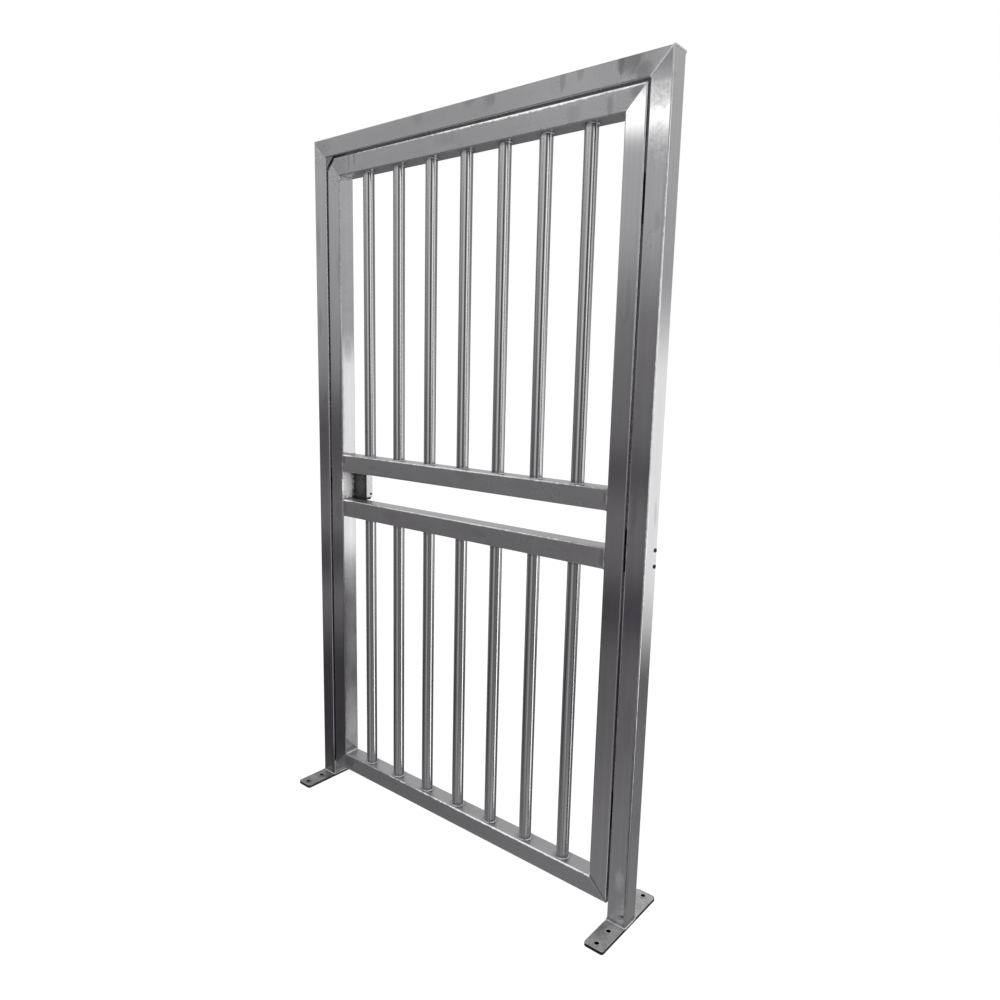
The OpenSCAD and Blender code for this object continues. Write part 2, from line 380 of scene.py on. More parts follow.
def cut_off_below():
    """Enters edit mode and cuts off what lies below the XY plane, leaving the cut closed."""
    bpy.ops.object.mode_set(mode="EDIT")
    bpy.ops.mesh.select_all(action="SELECT")
    bpy.ops.mesh.bisect(plane_co=(0, 0, 0.0001), plane_no=(0, 0, 1), clear_inner=True, use_fill=True)


def dome_head(radius, height):
    """A smooth dome at the origin, with its top towards +Z."""
    clear_selection()
    bpy.ops.mesh.primitive_uv_sphere_add(segments=24, ring_count=12, radius=radius)
    dome = bpy.context.object
    dome.scale = (1, 1, height / radius)
    bpy.ops.object.transform_apply(location=True, rotation=True, scale=True)
    cut_off_below()
    bpy.ops.object.mode_set(mode="OBJECT")
    return dome


def raised_rim(radius, width):
    """A low, rounded rim at the origin that stands up from the XY plane."""
    clear_selection()
    bpy.ops.mesh.primitive_torus_add(major_segments=48, minor_segments=12, major_radius=radius,
                                     minor_radius=width)
    rim = bpy.context.object
    cut_off_below()
    bpy.ops.mesh.select_all(action="SELECT")
    bpy.ops.transform.resize(value=(1, 1, 0.45))
    bpy.ops.object.mode_set(mode="OBJECT")
    return rim


def rose(radius, height, hole):
    """A rounded disc at the origin with its top towards +Z and a round well for a cylinder."""
    disc = drum(48, radius, height)
    bevel_edges(disc, height * 0.4, segments=3)
    pick_faces(disc, lambda face: face.normal.z > 0.99)
    bpy.ops.mesh.inset(thickness=radius - height * 0.4 - hole)
    bpy.ops.mesh.extrude_region_move(TRANSFORM_OT_translate={"value": (0, 0, -height * 0.6)})
    bpy.ops.object.mode_set(mode="OBJECT")
    return disc


def at(x, y, z, turned=None):
    return Matrix.Translation((x, y, z)) @ (turned or Matrix.Identity(4))


# ---------------------------------------------------------------- node helpers


def feed(tree, sockets, values):
    """Sets each named socket to its value, or links it where the value is a socket."""
    for key, value in values.items():
        if isinstance(value, bpy.types.NodeSocket):
            tree.links.new(value, sockets[key])
        else:
            sockets[key].default_value = value


def add(tree, kind, inputs=None, **settings):
    """Adds a node, sets its properties and feeds its inputs."""
    node = tree.nodes.new(kind)
    for key, value in settings.items():
        setattr(node, key, value)
    feed(tree, node.inputs, inputs or {})
    return node


def math_node(tree, operation, first, second=0.0, third=0.0, clamp=False):
    inputs = {0: first, 1: second, 2: third}
    return add(tree, "ShaderNodeMath", inputs, operation=operation, use_clamp=clamp).outputs[0]


def vector_node(tree, operation, first, second=ORIGIN, third=ORIGIN, result="Vector"):
    inputs = {0: first, 1: second, 2: third}
    return add(tree, "ShaderNodeVectorMath", inputs, operation=operation).outputs[result]


def noise_node(tree, place, scale, detail=2.0, roughness=0.5, result="Fac"):
    inputs = {"Vector": place, "Scale": scale, "Detail": detail, "Roughness": roughness}
    return add(tree, "ShaderNodeTexNoise", inputs).outputs[result]


def fade(tree, value, full, none, least=0.0, soft=False):
    """One where the value is at full, falling to the least where it is at none."""
    inputs = {"Value": value, "From Min": full, "From Max": none, "To Min": 1.0, "To Max": least}
    kind = "SMOOTHSTEP" if soft else "LINEAR"
    return add(tree, "ShaderNodeMapRange", inputs, interpolation_type=kind).outputs["Result"]


def ramp(tree, factor, stops):
    """A ramp of greys over 0 to 1."""
    node = add(tree, "ShaderNodeValToRGB", {"Fac": factor})
    band = node.color_ramp
    while len(band.elements) > 1:
        band.elements.remove(band.elements[-1])
    for k, (place, value) in enumerate(stops):
        stop = band.elements[0] if k == 0 else band.elements.new(place)
        stop.position = place
        stop.color = grey(value)
    return node.outputs["Color"]


def blend_colour(tree, factor, first, second, mode="MIX"):
    inputs = {0: factor, 6: first, 7: second}
    return add(tree, "ShaderNodeMix", inputs, data_type="RGBA", blend_type=mode).outputs[2]


def times(tree, first, second):
    return blend_colour(tree, 1.0, first, second, mode="MULTIPLY")


def grey(value):
    return (value, value, value, 1.0)


def dimmed(shade, brightness):
    return tuple(brightness * part for part in shade)


def group(name, inputs, outputs):
    """An empty shader node group, the sockets it is given and the sockets it makes. A socket whose default
    is a tuple is a vector, and any other is a number."""
    tree = bpy.data.node_groups.new(name, "ShaderNodeTree")
    for way, sockets in (("INPUT", inputs), ("OUTPUT", outputs)):
        for socket, default in sockets.items():
            kind = "NodeSocketVector" if isinstance(default, tuple) else "NodeSocketFloat"
            tree.interface.new_socket(name=socket, in_out=way, socket_type=kind).default_value = default
    return tree, tree.nodes.new("NodeGroupInput").outputs, tree.nodes.new("NodeGroupOutput").inputs


def use_group(tree, name, inputs):
    return add(tree, "ShaderNodeGroup", inputs, node_tree=bpy.data.node_groups[name]).outputs


def build_grain_group():
    """Fine scratches along the tube, wider bands of them, and slow clouds of handling."""
    tree, given, made = group("Brushed Grain", {"Vector": ORIGIN, "Cells": ORIGIN},
                              {"Scratches": 0.0, "Bands": 0.0, "Clouds": 0.0})
    cells = vector_node(tree, "MULTIPLY", given["Vector"], given["Cells"])
    wide = vector_node(tree, "MULTIPLY", cells, (0.16, 0.16, 0.16))
    feed(tree, made, {"Scratches": noise_node(tree, cells, 1.0),
                      "Bands": noise_node(tree, wide, 1.0, 1.0),
                      "Clouds": noise_node(tree, given["Vector"], 9.0, 4.0, 0.6)})


def build_spot_group():
    """A soft spot round a place, with an edge that noise breaks up."""
    tree, given, made = group("Broken Spot", {"Vector": ORIGIN, "Place": ORIGIN, "Reach": ORIGIN,
                                              "Noise": 0.5}, {"Mask": 0.0})
    away = vector_node(tree, "SUBTRACT", given["Vector"], given["Place"])
    far = vector_node(tree, "LENGTH", vector_node(tree, "DIVIDE", away, given["Reach"]), result="Value")
    soft_edge(tree, given, made, far, 1.2)


def build_band_group():
    """A band along a flat cut through a place, with edges that noise breaks up."""
    tree, given, made = group("Broken Band", {"Vector": ORIGIN, "Place": ORIGIN, "Across": ORIGIN,
                                              "Noise": 0.5}, {"Mask": 0.0})
    away = vector_node(tree, "SUBTRACT", given["Vector"], given["Place"])
    far = vector_node(tree, "DOT_PRODUCT", away, given["Across"], result="Value")
    soft_edge(tree, given, made, math_node(tree, "ABSOLUTE", far), 1.0)


def soft_edge(tree, given, made, far, breakup):
    """Ends a group: full where the distance is small, nothing where it is over one."""
    centred = math_node(tree, "SUBTRACT", given["Noise"], 0.5)
    broken = math_node(tree, "MULTIPLY_ADD", centred, breakup, far)
    feed(tree, made, {"Mask": fade(tree, broken, 0.4, 1.0, soft=True)})


def build_foot_group():
    """Rings round the feet of the bars, which stand in a row along X, and the way outwards from each bar."""
    tree, given, made = group("Bar Feet", {"Vector": ORIGIN, "First": 0.0, "Pitch": 0.1, "Reach": 0.03},
                              {"Mask": 0.0, "Outwards": ORIGIN})
    parts = add(tree, "ShaderNodeSeparateXYZ", {0: given["Vector"]}).outputs
    along = math_node(tree, "SUBTRACT", parts["X"], given["First"])
    half = math_node(tree, "MULTIPLY", given["Pitch"], 0.5)
    near = math_node(tree, "WRAP", along, half, math_node(tree, "MULTIPLY", half, -1.0))
    outwards = add(tree, "ShaderNodeCombineXYZ", {0: near, 1: parts["Y"]}).outputs[0]
    far = vector_node(tree, "LENGTH", outwards, result="Value")
    feed(tree, made, {"Mask": fade(tree, far, 0.019, given["Reach"], soft=True),
                      "Outwards": vector_node(tree, "NORMALIZE", outwards)})


def bar_row(tree, place, reach=0.03):
    """The Bar Feet group, set to where the bars stand."""
    first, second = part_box(BARS[0]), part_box(BARS[1])
    return use_group(tree, "Bar Feet", {"Vector": place, "First": (first[0].x + first[1].x) / 2,
                                        "Pitch": second[0].x - first[0].x, "Reach": reach})


# ---------------------------------------------------------------- finishes


def new_material(name):
    material = bpy.data.materials.new(name)
    material.use_nodes = True
    tree = material.node_tree
    tree.nodes.clear()
    shader = add(tree, "ShaderNodeBsdfPrincipled")
    add(tree, "ShaderNodeOutputMaterial", {"Surface": shader.outputs["BSDF"]})
    place = add(tree, "ShaderNodeTexCoord").outputs["Object"]
    return material, tree, shader, place


def dress(tree, shader, shade, rough, metal, height, strength, distance):
    """Feeds a finish to its shader, with a bump made from the height."""
    bump = add(tree, "ShaderNodeBump", {"Height": height, "Strength": strength, "Distance": distance})
    feed(tree, shader.inputs, {"Base Color": shade, "Roughness": rough, "Metallic": metal,
                               "Normal": bump.outputs["Normal"]})


def tinted(tree, finish, noise, stops):
    """A finish's colour, darkened and lightened by a ramp over noise."""
    return times(tree, (*finish, 1.0), ramp(tree, noise, stops))


def marked(tree, place, noise, marks):
    """The mask of a list of marks. A spot is (place, reach, strength), a band is (place, across, "band")."""
    mask = None
    for spot, reach, strength in marks:
        given = {"Vector": place, "Place": spot, "Noise": noise}
        if strength == "band":
            one = use_group(tree, "Broken Band", {**given, "Across": reach})["Mask"]
        else:
            one = use_group(tree, "Broken Spot", {**given, "Reach": reach})["Mask"]
            one = math_node(tree, "MULTIPLY", one, strength)
        mask = one if mask is None else math_node(tree, "MAXIMUM", mask, one)
    return mask


def brushed_steel(name, finish, axis, roughness, stretch, marks, feet=None, cells=None, drawn=0.16,
                  relief=0.08):
    """Steel brushed along an axis. Of its marks, stains come from heat, smudges run down from handling,
    and ground marks come from a hand grinder; the stains and smudges that run along a tube's front corner
    are painted shade, and the pale marks are painted highlights, save one faint pale patch. Feet is the
    height of the face that carries the bars, darkened in broken heat-coloured rings round their feet."""
    finishes = bpy.context.scene.gate_finish
    heat = (*finishes.heat, 1.0)
    material, tree, shader, place = new_material(name)
    grain = use_group(tree, "Brushed Grain", {"Vector": place, "Cells": cells or GRAIN_CELLS[axis]})
    streaks = math_node(tree, "MULTIPLY_ADD", grain["Bands"], drawn, 1.0 - drawn / 2)
    shade = times(tree, (*finish, 1.0), streaks)
    rough = math_node(tree, "MULTIPLY_ADD", grain["Clouds"], 0.08, roughness - 0.04)
    metal = 1.0
    noise = noise_node(tree, place, 85.0, 4.0, 0.65)
    if "ground" in marks:
        mask = marked(tree, place, noise, marks["ground"])
        tone = ramp(tree, noise_node(tree, place, 120.0, 4.0, 0.6), ((0.34, 0.74), (0.5, 1.0), (0.66, 1.14)))
        shade = blend_colour(tree, mask, shade, times(tree, shade, tone))
        rough = math_node(tree, "MULTIPLY_ADD", mask, 0.1, rough)
    if "stains" in marks:
        mask = math_node(tree, "MULTIPLY", marked(tree, place, noise, marks["stains"]), 0.7)
        shade = blend_colour(tree, mask, shade, heat)
        rough = math_node(tree, "MULTIPLY_ADD", mask, 0.12, rough)
    # Broken heat-coloured rings darken the barred face round each bar's foot
    if feet is not None:
        rise = add(tree, "ShaderNodeSeparateXYZ", {0: place}).outputs["Z"]
        away = math_node(tree, "ABSOLUTE", math_node(tree, "SUBTRACT", rise, feet))
        broken = math_node(tree, "MULTIPLY", bar_row(tree, place, 0.034)["Mask"], noise)
        broken = math_node(tree, "MULTIPLY", broken, fade(tree, away, 0.006, 0.02))
        shade = blend_colour(tree, math_node(tree, "MULTIPLY", broken, 1.3, clamp=True), shade, heat)
    if "smudges" in marks:
        hanging = vector_node(tree, "MULTIPLY", place, (190.0, 190.0, 42.0))
        mask = marked(tree, place, noise_node(tree, hanging, 1.0, 4.0, 0.6), marks["smudges"])
        shade = blend_colour(tree, mask, shade, grey(0.22))
    # Pale marks paint highlights in near-white, less metallic steel
    if "pale" in marks:
        mask = marked(tree, place, noise, marks["pale"])
        shade = blend_colour(tree, mask, shade, (*finishes.pale, 1.0))
        metal = math_node(tree, "SUBTRACT", 1.0, mask)
    dress(tree, shader, shade, rough, metal, grain["Scratches"], relief, 0.0003)
    tangent = add(tree, "ShaderNodeTangent", direction_type="RADIAL", axis=axis)
    feed(tree, shader.inputs, {"Anisotropic": stretch, "Tangent": tangent.outputs["Tangent"]})
    return material


def bar_steel(name, finish, roughness, ends):
    """Round bar polished lengthways, with painted shade on its back right half, heat at its welded ends and
    its roundness carried by the normal."""
    marks = {"stains": [(end, (9.0, 9.0, 0.013), 1.0) for end in ends], "smudges": BAR_MARKS}
    material = brushed_steel(name, finish, "Z", roughness, 0.5, marks, cells=(1400.0, 1400.0, 8.0),
                             drawn=0.14, relief=0.0)
    tree = material.node_tree
    nodes = {node.type: node for node in tree.nodes}
    shader = nodes["BSDF_PRINCIPLED"]
    outwards = bar_row(tree, nodes["TEX_COORD"].outputs["Object"])["Outwards"]
    # The bar's base colour falls to half on its back right side: painted shade, the same from every view
    behind = vector_node(tree, "DOT_PRODUCT", outwards, (0.77, 0.64, 0.0), result="Value")
    polished = shader.inputs["Base Color"].links[0].from_socket
    turned = add(tree, "ShaderNodeVectorTransform", {"Vector": outwards}, vector_type="NORMAL",
                 convert_from="OBJECT", convert_to="WORLD")
    feed(tree, nodes["BUMP"].inputs, {"Normal": turned.outputs[0]})
    shade = times(tree, polished, fade(tree, behind, 0.68, 0.86, least=0.5))
    feed(tree, shader.inputs, {"Base Color": shade, "Anisotropic Rotation": 0.25})
    return material


def ground_steel(name, finish, cell=95.0, roughness=0.34, dark=0.62):
    """Steel ground by hand after welding: small facets that each catch the light in their own way."""
    material, tree, shader, place = new_material(name)
    warp = noise_node(tree, place, 60.0, result="Color")
    pushed = vector_node(tree, "MULTIPLY_ADD", warp, (0.02, 0.02, 0.02), place)
    patches = add(tree, "ShaderNodeTexVoronoi", {"Vector": pushed, "Scale": cell, "Smoothness": 0.35},
                  feature="SMOOTH_F1")
    tone = noise_node(tree, pushed, cell, 3.0, 0.65)
    rough = math_node(tree, "MULTIPLY_ADD", tone, 0.18, roughness - 0.09)
    dress(tree, shader, tinted(tree, finish, tone, ((0.32, dark), (0.68, 1.02))), rough, 1.0,
          patches.outputs["Distance"], 0.25, 0.0015)
    return material


def weld_metal(name, finish, hollows=0.42):
    """Bright weld metal with small ripples and dark, heat-stained hollows."""
    material, tree, shader, place = new_material(name)
    ripples = noise_node(tree, place, 420.0, 3.0)
    shade = tinted(tree, finish, noise_node(tree, place, 48.0), ((0.38, hollows), (0.55, 1.0)))
    rough = math_node(tree, "MULTIPLY_ADD", ripples, 0.3, 0.18)
    dress(tree, shader, shade, rough, 1.0, ripples, 0.7, 0.0006)
    return material


def dull_plate(name, finish, roughness, top):
    """Grainy rolled steel with mill stains, and sides that are near black below the top's last millimetre.
    """
    material, tree, shader, place = new_material(name)
    grain = noise_node(tree, place, 330.0, 4.0, 0.7)
    stains = noise_node(tree, place, 26.0, 4.0, 0.6)
    speckle = ramp(tree, grain, ((0.3, 0.6), (0.7, 1.25)))
    cloud = ramp(tree, stains, ((0.35, 0.75), (0.62, 1.15)))
    shade = times(tree, (*finish, 1.0), times(tree, speckle, cloud))
    height = add(tree, "ShaderNodeSeparateXYZ", {0: place}).outputs["Z"]
    shade = blend_colour(tree, fade(tree, height, top - 0.0012, top - 0.0002), shade, grey(0.05))
    rough = math_node(tree, "MULTIPLY_ADD", stains, 0.2, roughness - 0.1)
    dress(tree, shader, shade, rough, 0.9, grain, 0.35, 0.0005)
    return material


def satin_metal(name, finish, roughness, dark=(), metal=1.0):
    """Plain machined metal with fine wear, and painted shade where it is given."""
    material, tree, shader, place = new_material(name)
    wear = noise_node(tree, place, 160.0, 4.0)
    shade = tinted(tree, finish, wear, ((0.35, 0.82), (0.65, 1.08)))
    if dark:
        shade = blend_colour(tree, marked(tree, place, wear, dark), shade, grey(0.12))
    rough = math_node(tree, "MULTIPLY_ADD", wear, 0.2, roughness - 0.1)
    dress(tree, shader, shade, rough, metal, wear, 0.1, 0.0004)
    return material


def black_plastic(name, finish):
    """Moulded plastic with a fine skin."""
    material, tree, shader, place = new_material(name)
    skin = noise_node(tree, place, 900.0)
    rough = math_node(tree, "MULTIPLY_ADD", skin, 0.2, 0.4)
    dress(tree, shader, tinted(tree, finish, skin, ((0.3, 0.7), (0.7, 1.5))), rough, 0.0, skin, 0.2, 0.0002)
    return material


def finish_nodes(names, material):
    """Gives a material to CAD nodes, whose shape and place stay as they are."""
    for name in names:
        node = frame["nodes"][name]
        node.data.materials.clear()
        node.data.materials.append(material)


# Marks on the tubes, in metres: a spot is its middle, its reach and its strength, and a band is a place on
# it and the way across it divided by half its width. Pale marks are painted highlights, and the marks
# that run along a front corner are painted shade
BAR_MARKS = (
    ((-1.0745, -0.012, 1.345), (0.014, 0.02, 0.012), 0.4), ((-0.75, 0.0, 1.6), (0.014, 0.1, 0.05), 0.18),
    ((-0.93, -0.01, 2.06), (0.014, 0.02, 0.06), 0.16), ((-0.5, -0.01, 1.9), (0.014, 0.02, 0.07), 0.14),
    ((-0.64, -0.01, 0.5), (0.014, 0.02, 0.07), 0.14),
)
UPRIGHT_MARKS = {
    "hinge_post": {
        "ground": [((-0.002, -0.03, 2.215), (0.06, 0.04, 0.04), 0.7),
                   ((0.0, -0.03, 2.1), (0.04, 0.03, 0.07), 0.5),
                   ((-0.006, -0.03, 1.89), (0.02, 0.03, 0.05), 0.4)],
        "stains": [((0.0, 0.0, 0.014), (0.2, 0.2, 0.01), 1.0),
                   ((0.0, -0.03, 2.255), (0.06, 0.03, 0.012), 0.4),
                   ((0.03, 0.0, 0.34), (0.006, 0.03, 0.09), 0.35)],
        "smudges": [((0.01, -0.03, 1.93), (0.012, 0.03, 0.03), 0.2),
                    # Painted shade along the post's front right corner, below its painted highlight
                    ((0.03, -0.03, 0.3), (0.008, 0.008, 0.55), 0.8),
                    ((0.03, 0.01, 1.2), (0.02, 0.012, 0.05), 0.25),
                    ((-0.012, -0.03, 1.2), (0.01, 0.02, 0.06), 0.2),
                    ((0.026, -0.03, 1.95), (0.007, 0.02, 0.2), 0.2),
                    ((0.004, -0.03, 0.62), (0.016, 0.02, 0.1), 0.15)],
        # A faint pale patch at the post's foot, then painted highlights along its two front corners
        "pale": [((0.006, -0.03, 0.15), (0.02, 0.02, 0.045), 0.12),
                 ((0.03, -0.03, 1.5), (0.0046, 0.0046, 0.8), 0.6),
                 ((-0.03, -0.03, 0.8), (0.0044, 0.0044, 0.9), 0.3)],
    },
    "lock_post": {
        "ground": [((-1.302, -0.03, 2.27), (0.045, 0.04, 0.06), 0.6)],
        "stains": [((-1.29, 0.0, 0.014), (0.2, 0.2, 0.01), 1.0),
                   ((-1.29, -0.03, 0.05), (0.04, 0.04, 0.06), 0.5)],
        "smudges": [((-1.26, 0.0, 0.03), (0.02, 0.08, 0.13), 1.0),
                    ((-1.3, -0.03, 1.72), (0.012, 0.03, 0.06), 0.2),
                    ((-1.28, -0.03, 1.45), (0.01, 0.03, 0.03), 0.2),
                    ((-1.305, -0.03, 2.0), (0.012, 0.03, 0.08), 0.22)],
    },
    "leaf_lock_stile": {
        "ground": [((-1.215, -0.03, 2.2), (0.06, 0.04, 0.065), 0.7)],
        "stains": [((-1.189, 0.0, 0.132), (0.02, 0.06, 0.01), 1.0),
                   ((-1.2, -0.03, 0.08), (0.05, 0.04, 0.05), 0.6),
                   ((-1.2, -0.03, 1.1), (0.01, 0.03, 0.01), 0.5),
                   # Painted shade along the stile's inner front corner
                   ((-1.189, -0.03, 2.0), (0.0044, 0.0044, 0.3), 0.9)],
        # These two are painted shade along the stile's inner front corner
        "smudges": [((-1.189, -0.03, 1.44), (0.013, 0.013, 0.3), 0.6),
                    ((-1.189, -0.03, 0.5), (0.01, 0.01, 0.45), 0.6),
                    ((-1.189, 0.004, 1.118), (0.01, 0.03, 0.02), 0.35),
                    ((-1.189, 0.0, 1.62), (0.01, 0.02, 0.05), 0.25),
                    ((-1.189, 0.01, 0.42), (0.01, 0.02, 0.05), 0.25),
                    ((-1.215, -0.03, 1.05), (0.02, 0.02, 0.04), 0.2),
                    ((-1.2, -0.03, 1.9), (0.012, 0.02, 0.08), 0.2)],
        # Painted highlights and reflection on the stile's inner side beside the lock, and on its corner
        # there
        "pale": [((-1.189, -0.008, 1.148), (0.01, 0.036, 0.075), 1.0),
                 ((-1.189, 0.0, 1.29), (0.01, 0.03, 0.035), 0.3),
                 ((-1.189, -0.03, 1.148), (0.0046, 0.0046, 0.055), 1.0)],
    },
    "leaf_hinge_stile": {
        "ground": [((-0.07, -0.03, 0.09), (0.03, 0.04, 0.03), 0.5)],
        "stains": [((-0.066, 0.0, 0.088), (60.0, 0.0, 60.0), "band"),
                   ((-0.099, -0.03, 2.182), (0.011, 0.03, 0.014), 0.7),
                   # Painted shade along the stile's front corner beside the hinge-side gap
                   ((-0.036, -0.03, 1.1), (0.0046, 0.0046, 1.3), 0.6)],
        "smudges": [((-0.06, -0.03, 1.75), (0.01, 0.03, 0.08), 0.16)],
        # A painted highlight on the stile's front corner at its foot
        "pale": [((-0.096, -0.03, 0.125), (0.004, 0.004, 0.03), 0.8)],
    },
}
BARRED_FACE = {"leaf_top_rail": "under", "leaf_bottom_rail": "top", "mid_rail_lower": "under",
               "mid_rail_upper": "top"}
RAIL_MARKS = {
    "frame_top_rail": {
        "ground": [((-1.28, -0.03, 2.29), (0.06, 0.05, 0.04), 0.6),
                   ((-0.05, -0.03, 2.29), (0.05, 0.05, 0.05), 0.4)],
        "stains": [((-0.085, -0.03, 2.31), (0.045, 0.06, 0.04), 0.75),
                   ((-0.05, -0.03, 2.28), (0.03, 0.04, 0.03), 0.5)],
        "smudges": [((-0.113, -0.03, 2.318), (0.012, 0.03, 0.05), 0.55),
                    ((-0.535, -0.03, 2.316), (0.03, 0.03, 0.04), 0.3),
                    ((-0.287, -0.03, 2.31), (0.012, 0.03, 0.045), 0.35),
                    ((-0.232, -0.03, 2.318), (0.014, 0.03, 0.035), 0.3),
                    ((-0.61, -0.03, 2.318), (0.03, 0.03, 0.02), 0.3),
                    ((-0.82, -0.03, 2.31), (0.03, 0.03, 0.03), 0.2)],
    },
    "leaf_top_rail": {
        "ground": [((-1.19, -0.03, 2.222), (0.05, 0.05, 0.05), 0.7)],
        "stains": [((-0.06, -0.03, 2.236), (0.03, 0.03, 0.022), 0.6),
                   ((-0.1, -0.03, 2.19), (0.03, 0.05, 0.006), 0.5)],
        "smudges": [((-1.112, -0.03, 2.24), (0.006, 0.03, 0.04), 0.35),
                    ((-1.14, -0.03, 2.235), (0.006, 0.03, 0.04), 0.35),
                    ((-0.14, -0.03, 2.215), (0.012, 0.03, 0.03), 0.35),
                    ((-0.7, -0.03, 2.23), (0.06, 0.03, 0.02), 0.15),
                    ((-0.25, -0.03, 2.215), (0.03, 0.03, 0.03), 0.2)],
        # Painted highlights along the rail's top front edge
        "pale": [((-0.36, -0.03, 2.2525), (0.7, 0.009, 0.009), 1.0),
                 ((-0.9, -0.03, 2.2525), (0.3, 0.0066, 0.0066), 0.5)],
    },
    "leaf_bottom_rail": {
        "ground": [((-1.12, 0.0, 0.118), (0.06, 0.06, 0.01), 0.6),
                   ((-0.6, 0.0, 0.118), (0.12, 0.03, 0.01), 0.5)],
        "stains": [((-1.17, -0.03, 0.09), (0.04, 0.04, 0.03), 1.0)],
        # A painted highlight along the rail's top front edge
        "pale": [((-0.36, -0.03, 0.118), (0.75, 0.0056, 0.0056), 1.0)],
    },
    "mid_rail_lower": {
        "stains": [((-1.178, -0.03, 1.07), (0.016, 0.04, 0.04), 0.8),
                   ((-0.1, -0.03, 1.07), (0.012, 0.04, 0.04), 1.0)],
        "smudges": [((-0.94, -0.03, 1.07), (0.05, 0.03, 0.02), 0.15),
                    ((-0.55, -0.03, 1.07), (0.04, 0.03, 0.02), 0.15)],
        # Painted highlights along the rail's top front edge
        "pale": [((-1.17, -0.03, 1.0975), (0.04, 0.0056, 0.0056), 1.0),
                 ((-0.64, -0.03, 1.0975), (0.7, 0.005, 0.005), 0.7)],
    },
    "mid_rail_upper": {
        "stains": [((-1.18, -0.03, 1.24), (0.012, 0.04, 0.018), 1.0),
                   ((-0.1, -0.03, 1.23), (0.012, 0.04, 0.04), 1.0)],
        "smudges": [((-1.03, -0.03, 1.225), (0.03, 0.03, 0.012), 0.15),
                    ((-0.6, -0.03, 1.245), (0.05, 0.03, 0.02), 0.15)],
        # Painted highlights along the rail's top front edge
        "pale": [((-1.165, -0.03, 1.2585), (0.05, 0.0056, 0.0056), 1.0),
                 ((-0.64, -0.03, 1.2585), (0.7, 0.005, 0.005), 0.8)],
    },
}


# ---------------------------------------------------------------- operators


class GATE_OT_finishes(bpy.types.Operator):
    """Make the finishes and give them to the gate's tubes, bars, plates, hinges and lock"""

    bl_idname = "gate.finishes"
    bl_label = "Finishes"

    def execute(self, context):
        finish = context.scene.gate_finish
        build_grain_group()
        build_spot_group()
        build_band_group()
        build_foot_group()
        steel, weld = tuple(finish.steel), tuple(finish.weld)
        for node, marks in UPRIGHT_MARKS.items():
            tube = brushed_steel("Brushed " + node.replace("_", " ").title(), steel, "Z",
                                 finish.upright_roughness, 1.0, marks)
            finish_nodes([node], tube)
        for node, marks in RAIL_MARKS.items():
            low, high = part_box(node)
            feet = {"top": high.z, "under": low.z}.get(BARRED_FACE.get(node))
            tube = brushed_steel("Brushed " + node.replace("_", " ").title(), dimmed(steel, 0.93), "X",
                                 finish.rail_roughness, 0.93, marks, feet=feet, drawn=0.1, relief=0.03)
            finish_nodes([node], tube)
        for field in FIELDS:
            bars = [name for name in BARS if field in name]
            ends = [(0.0, 0.0, corner.z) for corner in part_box(bars[0])]
            finish_nodes(bars, bar_steel(f"Polished {field.title()} Bar", tuple(finish.bar_steel),
                                         finish.bar_roughness, ends))
        # The gusset is painted in shade at 0.62 of the steel colour, over its ground facets
        finish_nodes(["corner_gusset"], ground_steel("Ground Gusset In Painted Shade", dimmed(steel, 0.62)))
        finish_nodes(["leaf_corner_patch"], ground_steel("Ground Corner", steel))
        # The lock plate is painted in shade at 0.6 of the plate colour, and the hinge plate painted lit at
        # 1.2
        for post, brightness in (("lock", 0.6), ("hinge", 1.2)):
            plate = dull_plate(f"Dull {post.title()} Plate", dimmed(finish.plate, brightness),
                               finish.plate_roughness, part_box(f"{post}_post_base_plate")[1].z)
            finish_nodes([f"{post}_post_base_plate"], plate)
        hinge = satin_metal("Hinge Steel", steel, 0.34)
        finish_nodes([f"hinge_{half}_half_{where}" for half in ("frame", "leaf") for where in HINGES], hinge)
        finish_nodes([f"hinge_pin_{where}" for where in HINGES], satin_metal("Pin Steel", steel, 0.24))
        # The lock case's front face is painted in shade with a dark band
        front = ((0.0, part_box("lock_case")[0].y, 0.0), (0.0, 450.0, 0.0), "band")
        finish_nodes(["lock_case", "lock_keeper"], satin_metal("Lock Steel", tuple(finish.lock), 0.24,
                                                               dark=[front]))
        finish_nodes(["lock_cylinder"], satin_metal("Lock Cylinder Steel", (0.62, 0.58, 0.5), 0.3))
        weld_metal("Weld Metal", weld)
        # A lighter copy of the weld metal, painted lit, for the welds at the feet of posts and bars and in
        # the leaf's top corners
        weld_metal("Painted Bright Weld", (0.92, 0.915, 0.92), hollows=0.7)
        ground_steel("Ground Seam", weld, cell=160.0, roughness=0.3, dark=0.5)
        satin_metal("Bright Screw", steel, 0.28)
        # A pale, less metallic finish that paints a highlight along the hinge plate's edge and on its hole
        # rims
        satin_metal("Painted Highlight Edge", (0.78, 0.78, 0.78), 0.4, metal=0.9)
        # A near-black finish for the block under the lock case
        satin_metal("Dark Lock Foot", (0.06, 0.058, 0.062), 0.5)
        # A pale, half-metallic finish that paints a highlight along the frame's hinge corner seam and the
        # leaf's bottom corner welds
        satin_metal("Painted Highlight Seam", (0.78, 0.78, 0.78), 0.4, metal=0.5)
        black_plastic("Black Cap", tuple(finish.rubber))
        return {"FINISHED"}


